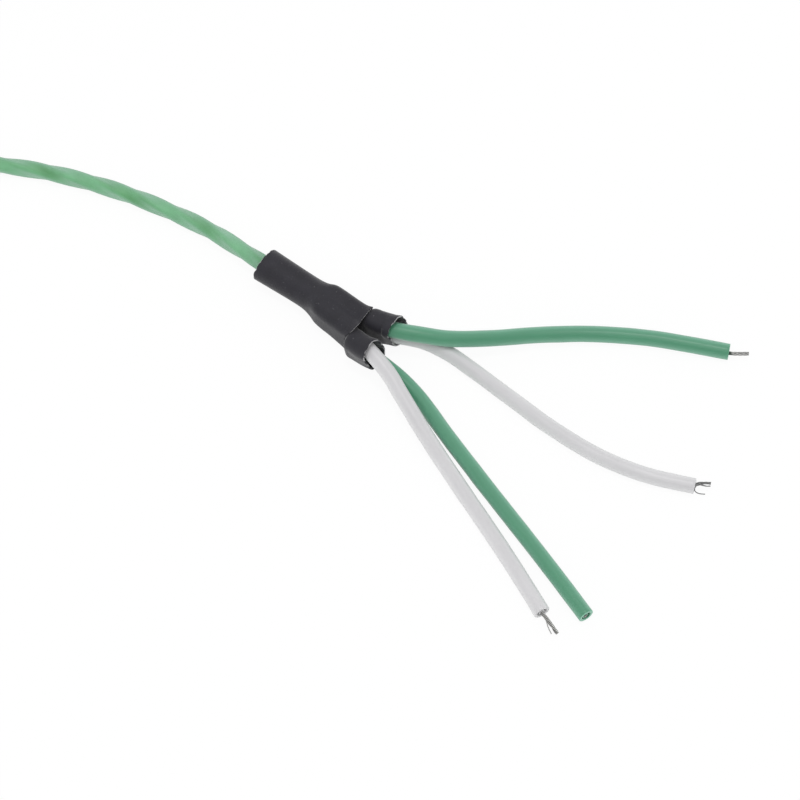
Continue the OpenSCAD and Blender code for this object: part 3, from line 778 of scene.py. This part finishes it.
def turned_mesh(name, outline, material):
    """A closed outline of (distance, radius) points turned round the probe's axis."""
    up = Vector((math.sin(LAY_ANGLE), 0, math.cos(LAY_ANGLE)))
    side = Vector((0, 1, 0))
    mesh = bpy.data.meshes.new(name)
    mesh.from_pydata([(on_axis(x) + r * (math.cos(t) * side + math.sin(t) * up)) * MM
                      for x, r in outline for t in ring_angles(TURNED_SIDES)], [],
                     ring_faces(len(outline), TURNED_SIDES))
    solid = bmesh.new()
    solid.from_mesh(mesh)
    bmesh.ops.remove_doubles(solid, verts=solid.verts, dist=1e-7)
    bmesh.ops.recalc_face_normals(solid, faces=solid.faces)
    solid.to_mesh(mesh)
    solid.free()
    mesh.shade_smooth()
    mesh.set_sharp_from_angle(angle=math.radians(SHARP_ANGLE))
    return add_object(name, mesh, material)


# Distance along the split sleeve, half width, half height, corner radius and shift to the side
SPLIT_STATIONS = [
    (0, 2.66, 2.5, 2.5, 0.07), (3.4, 2.56, 2.48, 2.48, 0.19), (6.8, 2.49, 2.39, 2.38, 0.34),
    (8.8, 2.49, 2.47, 2.35, 0.33), (10.2, 2.54, 2.62, 1.9, 0.2), (11.3, 2.82, 2.72, 1.6, 0.15),
    (12.6, 2.97, 2.72, 1.6, 0.09), (14.2, 3.0, 2.74, 1.6, 0.01), (16.2, 3.03, 2.8, 1.5, -0.15),
    (17.2, 3.07, 2.84, 1.4, -0.18), (18, 3.16, 3.02, 1.4, -0.2)]
SPLIT_LENGTH = SPLIT_STATIONS[-1][0]
SPLIT_FLOOR, SPLIT_SIDES, SPLIT_STEP = 0.02, 112, 0.3
# How far from its end each rim's cut reaches
MOUTH_REACH, REAR_REACH = 3, 2
# How far the top stands forward at the mouth and the rear, and how far the mouth's sides stand back
# and one side of it bulges forward between its middle and its edge
MOUTH_LEAN, MOUTH_CURVE, MOUTH_BULGE, REAR_LEAN = 0.35, 0.25, 0.5, 0.15
# The valley between the two pair sleeves that show through
VALLEY_AT, VALLEY_WIDTH, VALLEY_DEPTH, VALLEY_START, VALLEY_RUN = 0.15, 0.8, 0.45, 10.5, 6.5
# Seed and height of each rim's raggedness, and how often it repeats, broad and fine
RAGGED_REAR, RAGGED_MOUTH, RAGGED_PAIR = (3.0, 0.12), (8.0, 0.2), (6.0, 0.2)
RAGGED_BROAD, RAGGED_FINE = 2.2, 3.1


def ragged(angle, seed, height):
    """How far a hand-cut rim stands forward at an angle round it."""
    spot = Vector((RAGGED_BROAD * math.cos(angle), RAGGED_BROAD * math.sin(angle), seed))
    return height * (noise.noise(spot) + 0.5 * noise.noise(spot * RAGGED_FINE))


def split_ring(s, wall):
    """One ring of the split sleeve, outside at wall 0, or inside."""
    a, b, r, shift = stations_at(SPLIT_STATIONS, s)
    mouth = ease((s - SPLIT_LENGTH + MOUTH_REACH) / MOUTH_REACH)
    rear = max(0.0, 1 - s / REAR_REACH)
    valley = VALLEY_DEPTH * ease((s - VALLEY_START) / VALLEY_RUN)
    middle = in_split(s, shift, SPLIT_FLOOR + b)
    ring = []
    for angle, x, y in rounded_ring(SPLIT_SIDES, a - wall, b - wall, min(r, a, b) - wall):
        forward = (REAR_LEAN * rear * y / b + ragged(angle, *RAGGED_REAR) * rear
                   + mouth * (MOUTH_LEAN * y / b - MOUTH_CURVE * (x / a) ** 2 + ragged(angle, *RAGGED_MOUTH)
                              + MOUTH_BULGE * max(0, -x / a) * (1 - (x / a) ** 2)))
        if y > 0:
            y -= valley * math.exp(-((x - VALLEY_AT) / VALLEY_WIDTH) ** 2) * y / b
        ring.append(middle + x * SPLIT_SIDE + y * UP + forward * SPLIT_DIR)
    return ring


# Distance along the tails, then how much wider and higher than them, and moved how far sideways and up
PAIRS = {
    "1": ("green_1", "white_1", [
        (1, -0.1, 0, 0, 0), (1.8, -0.1, -0.05, 0, 0), (2.15, -0.1, -0.12, 0, -0.03),
        (2.32, 0.1, 0.05, 0.12, 0.08), (2.52, 0.32, 0.24, 0.2, 0.11), (3, 0.46, 0.24, 0.24, 0.11),
        (3.5, 0.48, 0.18, 0.26, 0.2), (4.2, 0.52, 0.25, 0.28, 0.3)]),
    "2": ("white_2", "green_2", [
        (1, -0.1, 0, 0, 0), (1.8, -0.1, -0.05, 0, 0), (2.25, -0.1, -0.12, -0.05, -0.03),
        (2.42, 0.1, -0.04, -0.3, 0), (2.6, 0.5, -0.12, -0.6, 0.02), (3, 0.5, 0.04, -0.54, 0.08),
        (3.4, 0.52, 0.15, -0.28, 0.12), (3.8, 0.6, 0.2, 0.16, 0.2)]),
}
# How far each pair sleeve's front rim is cut back at the top, stands forward at its far side
# and stands back at both sides, and from where off the middle and over what length
PAIR_CUTS = {"1": (0.8, 0.7, 0.15), "2": (0.28, -0.35, 0)}
CUT_MIDDLE, CUT_REACH = 0.35, 0.9
# The room round the tails, whose many-sided solids stand out a little at their corners
PAIR_SEAT, PAIR_ROOM, TAIL_CORNERS = 0.04, 0.2, 1.0086
PAIR_SIDES, PAIR_RINGS = 96, 44


def between(route, u):
    """A point part of the way between a route's numbered points."""
    i = min(int(u), len(route) - 2)
    return route[i].lerp(route[i + 1], u - i)


def pair_ring(upper, lower, values, cut, left, wall):
    """One ring of a pair sleeve round its two tails, with so much of the sleeve left before its rim."""
    u, wide, high, sideways, upward = values
    back, far, sides = cut

    def middle(v):
        return (between(upper, v) + between(lower, v)) / 2
    d = (middle(u + 0.3) - middle(u - 0.3)).normalized()
    gap = between(upper, u) - between(lower, u)
    apart = gap - gap.dot(d) * d
    v = apart.normalized()
    side = v.cross(d)
    w = (TAIL_RADIUS - SQUEEZE + PAIR_SEAT) * TAIL_CORNERS + PAIR_ROOM + wide - wall
    h = w + apart.length / 2 + high
    front = ease(1 - left / CUT_REACH)
    centre = middle(u) + sideways * side + upward * v
    ring = []
    for angle, x, y in rounded_ring(PAIR_SIDES, w, h, w):
        forward = front * (ragged(angle, *RAGGED_PAIR) - back * y / h + far * (x / w - CUT_MIDDLE)
                           - sides * (x / w) ** 2)
        ring.append(centre + x * side + y * v + forward * d)
    return ring


# The pieces

CAMERA_AT, CAMERA_TILT, FLOOR_HALF = (-30 * MM, -321.5 * MM, 418.3 * MM), 30, 3.0
# Name of each lamp and of its strength, its breadth and how it is turned, in degrees
LAMPS = (("key", 50, (15, -8, 0)), ("front", 9, (-4, 0, 0)))
# Outlines turned round the probe's axis: distance from the pot's rear, and radius
SHEATH_OUTLINE = [(20, 1.05), (20, 1.3), (30.5, 1.3), (31, 1.5)] + [
    (TIP - SHEATH_RADIUS + SHEATH_RADIUS * math.sin(math.radians(t)), SHEATH_RADIUS * math.cos(math.radians(t)))
    for t in range(0, 91, 9)] + [(178.8, 0), (178.8, 1.05)]
POT_OUTLINE = ([(0, 2.5), (0, 2.8), (0.06, 2.94), (0.2, 3)] + groove(3, 2.4, 3)
               + [(24, 3), (25.6, 2.1)] + groove(27.8, 1.6, 2.1) + [(29.8, 2.1), (29.94, 2.04), (30, 1.9)]
               + [(30, 1.32), (24, 1.32), (23, 2.5)] + groove(3, 2.4, 2.5)[::-1])
# Where the heat colour starts, before the tip
HEAT_REACH = 6.5
CORDS = []


def keep_cord(obj, route, **facts):
    """Notes a cord in the list of cords, with its route in metres."""
    CORDS.append(dict(obj=obj, path=[tuple(p * MM) for p in route], stiffness="limp", **facts))


class THERMOCOUPLE_OT_stage(bpy.types.Operator):
    """Camera, white floor and soft light."""
    bl_idname = "thermocouple.stage"
    bl_label = "Stage"

    def execute(self, context):
        stage = context.scene.thermocouple_stage
        camera = set_all(bpy.data.cameras.new("camera"), lens=stage.lens, clip_start=0.01)
        context.scene.camera = set_all(add_object("camera", camera), location=CAMERA_AT,
                                       rotation_euler=Euler((math.radians(CAMERA_TILT), 0, 0)))
        context.scene.view_settings.view_transform = "Standard"

        world = bpy.data.worlds.new("surroundings")
        world.use_nodes = True
        tree = world.node_tree
        tree.nodes.clear()
        rays = place(tree, "ShaderNodeLightPath").outputs
        way = place(tree, "ShaderNodeTexCoord").outputs["Generated"]
        level = ranged(tree, parts_of(tree, way)["Z"], end=(stage.rim, stage.sky))
        light = result(tree, "ShaderNodeBackground", {"Strength": level, "Color": WHITE})
        seen = result(tree, "ShaderNodeBackground", {"Strength": 1.0, "Color": WHITE})
        mix = result(tree, "ShaderNodeMixShader", {0: rays["Is Camera Ray"], 1: light, 2: seen})
        place(tree, "ShaderNodeOutputWorld", {"Surface": mix})
        context.scene.world = world

        material, tree, shader = new_material(
            "white_floor", {"Base Color": stage.floor, "Roughness": 0.9, "Specular IOR Level": 0.1})
        rays = place(tree, "ShaderNodeLightPath").outputs
        seen = maths(tree, "MAXIMUM", rays["Is Camera Ray"], rays["Is Glossy Ray"])
        seen = maths(tree, "MAXIMUM", seen, rays["Is Transmission Ray"])
        share = maths(tree, "MULTIPLY", seen, stage.clean)
        white = result(tree, "ShaderNodeEmission", {"Color": WHITE, "Strength": 1.0})
        mix = result(tree, "ShaderNodeMixShader", {0: share, 1: shader.outputs[0], 2: white})
        feed(tree, next(n for n in tree.nodes if n.type == "OUTPUT_MATERIAL"), {"Surface": mix})
        mesh = bpy.data.meshes.new("floor")
        mesh.from_pydata([(x * FLOOR_HALF, y * FLOOR_HALF, 0) for x, y in ((-1, -1), (1, -1), (1, 1), (-1, 1))],
                         [], [(0, 1, 2, 3)])
        add_object("floor", mesh, material)

        for name, breadth, turns in LAMPS:
            sun = set_all(bpy.data.lights.new(name, "SUN"), energy=getattr(stage, name),
                          angle=math.radians(breadth))
            add_object(name, sun).rotation_euler = Euler([math.radians(t) for t in turns])
        return {"FINISHED"}


class THERMOCOUPLE_OT_lead_cable(bpy.types.Operator):
    """The lead cable, from the pot round the coil and on into the split sleeve."""
    bl_idname = "thermocouple.lead_cable"
    bl_label = "Lead cable"

    def execute(self, context):
        cable = context.scene.thermocouple_cable
        route = smooth(PROBE_RUN + coil_points(cable.pitch / MM) + SPLIT_RUN
                       + [in_split(CABLE_IN_SPLIT, 0.05, CABLE_HEIGHT)], 1.2)
        obj = skin_paths("lead_cable", [route], jacket_material(cable), Ring_Spacing=0.8 * MM,
                         Diameter=cable.diameter, Lobes=4.0, Lobe_Height=cable.lobe, Lay_Length=-cable.lay,
                         Lay_Start=math.radians(45), Unevenness=0.05 * MM, Uneven_Scale=150.0)
        finish_piece(obj, "cable_green", "cable_run_probe", "cable_coil", "cable_run_split")
        keep_cord(obj, route, exit=tuple(on_axis(0) * MM), length=1.0, diameter=cable.diameter,
                  far_end="fitting", lay="coiled", with_pieces=[
                      "shrunk_split_sleeve", "shrunk_pair_sleeve_1", "shrunk_pair_sleeve_2", "tie_band"])
        return {"FINISHED"}


class THERMOCOUPLE_OT_tails(bpy.types.Operator):
    """The two green and two white tail sleeves."""
    bl_idname = "thermocouple.tails"
    bl_label = "Tails"

    def execute(self, context):
        tails = context.scene.thermocouple_tails
        skins = tail_finishes("tail", tails, tails.green, 0.07)
        cuts = tail_finishes("cut", tails, tails.cut_green, 0.05)
        for key, points in TAIL_ROUTES.items():
            hue = key[:5]
            route = smooth(points, 0.8)
            held = length_of(points[:3])
            girth, run = [], 0.0
            for i, p in enumerate(route):
                run += (p - route[i - 1]).length if i else 0.0
                free = ease((run - held) / SWELL_RUN)
                girth.append((1 - SQUEEZE / TAIL_RADIUS) * (1 - free) + TAIL_GIRTHS[key] * free)
            obj = skin_paths("tube_" + key, [route], skins[hue], [girth], Ring_Spacing=0.5 * MM, Sides=40,
                             Diameter=tails.diameter, Unevenness=0.10 * MM, Uneven_Scale=230.0,
                             Closed_Ends=False)
            obj.data.materials.append(cuts[hue])
            set_all(obj.modifiers.new("wall", "SOLIDIFY"), thickness=tails.wall, offset=-1.0,
                    material_offset_rim=1)
            set_all(obj.modifiers.new("rims", "BEVEL"), width=0.08 * MM, segments=2, limit_method="ANGLE",
                    angle_limit=math.radians(50))
            finish_piece(obj, "tail_" + hue, "tail_" + key)
            keep_cord(obj, route, exit=tuple(route[0] * MM), length=round(length_of(route)) * MM,
                      diameter=tails.diameter, far_end="bare", lay="loose",
                      with_pieces=["insulated_" + key, "wires_" + key])
        return {"FINISHED"}


class THERMOCOUPLE_OT_conductors(bpy.types.Operator):
    """The cores in the tails and their stripped, stranded ends."""
    bl_idname = "thermocouple.conductors"
    bl_label = "Conductors"

    def execute(self, context):
        tails = context.scene.thermocouple_tails
        insulation = tail_finishes("core", tails, tails.green, 0.05)
        bright = metal_material("strand_grey", (0.36, 0.36, 0.35), 0.38, EVEN)
        # The strands of tail white_1 get a darker copy of the strand metal
        darker_metal = metal_material("strand_darker", (0.22, 0.22, 0.22), 0.42, EVEN)
        for key, points in TAIL_ROUTES.items():
            n, z = CORE_CORNERS[key]
            start = [in_split(CABLE_IN_SPLIT + CORE_CLEAR + d, n * CORE_SPREAD, CABLE_HEIGHT + z * CORE_SPREAD)
                     for d in (0, 1)]
            heading = (points[-1] - points[-2]).normalized()
            end = points[-1] + OFF_MIDDLE[key]
            bend, stripped = end - LAST_BEND * heading, end - STRIP_BACK[key] * heading
            core = smooth(start + points[:-1] + [bend, stripped], 1.0)
            obj = skin_paths("insulated_" + key, [core], insulation[key[:5]], Ring_Spacing=1.0 * MM,
                             Sides=20, Diameter=tails.core)
            finish_piece(obj, "tail_" + key[:5], "core_" + key)
            onward, apart = STRAND_ENDS[key]
            shared = [bend, stripped, end + BUNCHED * heading]
            held = length_of(shared)
            paths, girths = [], []
            for k in range(tails.strands):
                line = smooth(shared + apart.get(k, onward), STRAND_STEP)
                path = []
                for i, (p, d) in enumerate(zip(line, directions(line))):
                    side = UP.cross(d).normalized()
                    turn = math.radians(60 * k - STRAND_TWIST * i)
                    off = 0.0 if k == MIDDLE_STRAND else STRAND_GAP * tails.strand / MM
                    if k in apart:
                        off *= 1 - ease((STRAND_STEP * i - held) / PARTING_RUN)
                    path.append(p + off * (math.cos(turn) * side + math.sin(turn) * d.cross(side)))
                paths.append(path)
                girths.append([APART_GIRTH if k in apart else 1.0] * len(path))
            obj = skin_paths("wires_" + key, paths, darker_metal if key == "white_1" else bright, girths,
                             Ring_Spacing=STRAND_STEP * MM, Sides=12, Diameter=tails.strand)
            finish_piece(obj, "strand_metal", "strands_" + key)
        return {"FINISHED"}


class THERMOCOUPLE_OT_sleeves(bpy.types.Operator):
    """The black shrunk sleeves: one over the split and one round each pair of tails."""
    bl_idname = "thermocouple.sleeves"
    bl_label = "Sleeves"

    def execute(self, context):
        sleeves = context.scene.thermocouple_sleeves
        black = sleeve_material(sleeves)
        runs = [min(SPLIT_LENGTH, k * SPLIT_STEP) for k in range(int(SPLIT_LENGTH / SPLIT_STEP) + 2)]
        outer, inner = [[split_ring(s, inset) for s in runs] for inset in (0, sleeves.split_wall / MM)]
        finish_piece(sleeve_mesh("shrunk_split_sleeve", outer, inner, runs, black, 0.5), "black_sleeve",
                     "split_sleeve")
        for key, (upper, lower, stations) in PAIRS.items():
            first, last = stations[0][0], stations[-1][0]
            us = [first + (last - first) * i / PAIR_RINGS for i in range(PAIR_RINGS + 1)]
            values = [[u] + stations_at(stations, u) for u in us]
            a, b = TAIL_ROUTES[upper], TAIL_ROUTES[lower]
            outer, inner = [[pair_ring(a, b, v, PAIR_CUTS[key], last - v[0], inset) for v in values]
                            for inset in (0, sleeves.pair_wall / MM)]
            runs = [(between(a, u) - between(a, first)).length for u in us]
            finish_piece(sleeve_mesh("shrunk_pair_sleeve_" + key, outer, inner, runs, black, 0.35),
                         "black_sleeve", "pair_sleeve_" + key)
        return {"FINISHED"}


class THERMOCOUPLE_OT_coil_tie(bpy.types.Operator):
    """The band that holds the coil."""
    bl_idname = "thermocouple.coil_tie"
    bl_label = "Coil tie"

    def execute(self, context):
        pitch = context.scene.thermocouple_cable.pitch / MM
        inside, outside = INNER_TURN - 1.43, INNER_TURN + 3 * pitch + 1.32
        low, step_up, top = 0.46, 2 * pitch + 0.65, 3 * pitch + 0.66
        # Round the turns, over the step that their top row leaves at the outside
        corners = [(inside, low), (outside, low), (outside, step_up), (outside - pitch + 0.3, top),
                   (inside, top)]
        half, thick, rounding = 1.5, 0.45, 0.9
        line = []
        for i, c in enumerate(corners):
            here = Vector(c)
            a, b = ((Vector(corners[n % len(corners)]) - here).normalized() for n in (i - 1, i + 1))
            for t in (0, 0.25, 0.5, 0.75, 1):
                line.append(here + a * rounding * (1 - t) ** 2 + b * rounding * t ** 2)
        turn = math.radians(TIE_TURN)
        out_way = Vector((math.cos(turn), math.sin(turn), 0))
        side = Vector((-math.sin(turn), math.cos(turn), 0))
        # Across the band and outwards, with its long edges broken
        section = [(-half, 0.08), (-half + 0.1, 0), (half - 0.1, 0), (half, 0.08), (half, thick - 0.12),
                   (half - 0.15, thick), (-half + 0.15, thick), (-half, thick - 0.12)]
        points = []
        for i, p in enumerate(line):
            along = (line[(i + 1) % len(line)] - line[i - 1]).normalized()
            normal = Vector((along.y, -along.x))
            for across, depth in section:
                q = p + normal * depth
                points.append((COIL_CENTRE + out_way * q.x + UP * q.y + side * across) * MM)
        mesh = bpy.data.meshes.new("tie_band")
        mesh.from_pydata(points, [], ring_faces(len(line), len(section)))
        mesh.shade_smooth()
        black = plain_material("tie_black", srgb(48, 48, 50), 0.5, 500.0, 0.1, 0.03)
        finish_piece(add_object("tie_band", mesh, black), "black_sleeve", "coil_tie")
        return {"FINISHED"}


class THERMOCOUPLE_OT_probe(bpy.types.Operator):
    """Finishes of the sheath, the pot, the strain relief and what they hold."""
    bl_idname = "thermocouple.probe"
    bl_label = "Probe"

    def execute(self, context):
        probe = context.scene.thermocouple_probe
        tails = context.scene.thermocouple_tails
        steel = metal_material("drawn_steel", probe.steel, 0.3, DRAWN,
                               tint=(probe.tint, (on_axis(TIP) * MM).x - HEAT_REACH * MM))
        turned = metal_material("turned_steel", probe.steel, 0.26, TURNED)
        finish_piece(turned_mesh("steel_sheath", SHEATH_OUTLINE, steel), "sheath_steel", "sheath")
        finish_piece(turned_mesh("steel_pot", POT_OUTLINE, turned), "sheath_steel", "pot_body")
        negative = metal_material("negative_metal", (0.34, 0.35, 0.36), 0.38, WIRE)
        # Roughness, scale and amount of the clouds, and depth of the grain follow each plain colour
        finishes = {
            "strain_relief": plain_material("relief_rubber", srgb(46, 46, 50), 0.6, 400.0, 0.12, 0.03),
            "mineral_fill": plain_material("magnesia", (0.82, 0.79, 0.72), 0.9, 900.0, 0.15, 0.03),
            "pot_sealant": plain_material("resin", (0.03, 0.028, 0.026), 0.3, 200.0, 0.2, 0.02),
            "hot_junction": negative,
            "thermoelement_positive": metal_material("positive_metal", (0.42, 0.4, 0.37), 0.35, WIRE),
            "thermoelement_negative": negative,
            "splice": metal_material("tinned", (0.62, 0.61, 0.57), 0.32, EVEN),
            "core_end_positive": plain_material("core_end_green", tails.green, 0.45, 300.0, 0.06, 0.02),
            "core_end_negative": plain_material("core_end_white", tails.white, 0.45, 300.0, 0.04, 0.02),
        }
        for name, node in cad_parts.items():
            finish = next((m for start, m in finishes.items() if name.startswith(start)), None)
            if finish:
                node.data.materials.clear()
                node.data.materials.append(finish)
        return {"FINISHED"}


class THERMOCOUPLE_PT_panel(bpy.types.Panel):
    """Lists the pieces in the order in which they are made."""
    bl_label = "Thermocouple"
    bl_idname = "THERMOCOUPLE_PT_panel"
    bl_space_type = "VIEW_3D"
    bl_region_type = "UI"
    bl_category = "Thermocouple"

    def draw(self, context):
        for operator in OPERATORS:
            self.layout.operator(operator.bl_idname)
        for name, group in SETTINGS.items():
            box = self.layout.box()
            box.label(text=group.__doc__)
            for key in group.__annotations__:
                box.prop(getattr(context.scene, name), key)


OPERATORS = (THERMOCOUPLE_OT_stage, THERMOCOUPLE_OT_lead_cable, THERMOCOUPLE_OT_tails,
             THERMOCOUPLE_OT_conductors, THERMOCOUPLE_OT_sleeves, THERMOCOUPLE_OT_coil_tie,
             THERMOCOUPLE_OT_probe)
SETTINGS = {"thermocouple_stage": StageSettings, "thermocouple_cable": CableSettings,
            "thermocouple_sleeves": SleeveSettings, "thermocouple_tails": TailSettings,
            "thermocouple_probe": ProbeSettings}


def register():
    for group in SETTINGS.values():
        bpy.utils.register_class(group)
    for name, group in SETTINGS.items():
        setattr(bpy.types.Scene, name, PointerProperty(type=group))
    for cls in (*OPERATORS, THERMOCOUPLE_PT_panel):
        bpy.utils.register_class(cls)


def unregister():
    for cls in (THERMOCOUPLE_PT_panel, *reversed(OPERATORS)):
        bpy.utils.unregister_class(cls)
    for name in SETTINGS:
        delattr(bpy.types.Scene, name)
    for group in SETTINGS.values():
        bpy.utils.unregister_class(group)


def main():
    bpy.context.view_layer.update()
    register()
    for build in (mottle_group, grain_group, rim_scuffs_and_highlights_group, draw_marks_group, path_tree):
        build()
    bpy.ops.thermocouple.stage()
    bpy.ops.thermocouple.lead_cable()
    bpy.ops.thermocouple.tails()
    bpy.ops.thermocouple.conductors()
    bpy.ops.thermocouple.sleeves()
    bpy.ops.thermocouple.coil_tie()
    bpy.ops.thermocouple.probe()
    for cord in CORDS:
        cord.pop("obj")


if __name__ == "__main__":
    main()
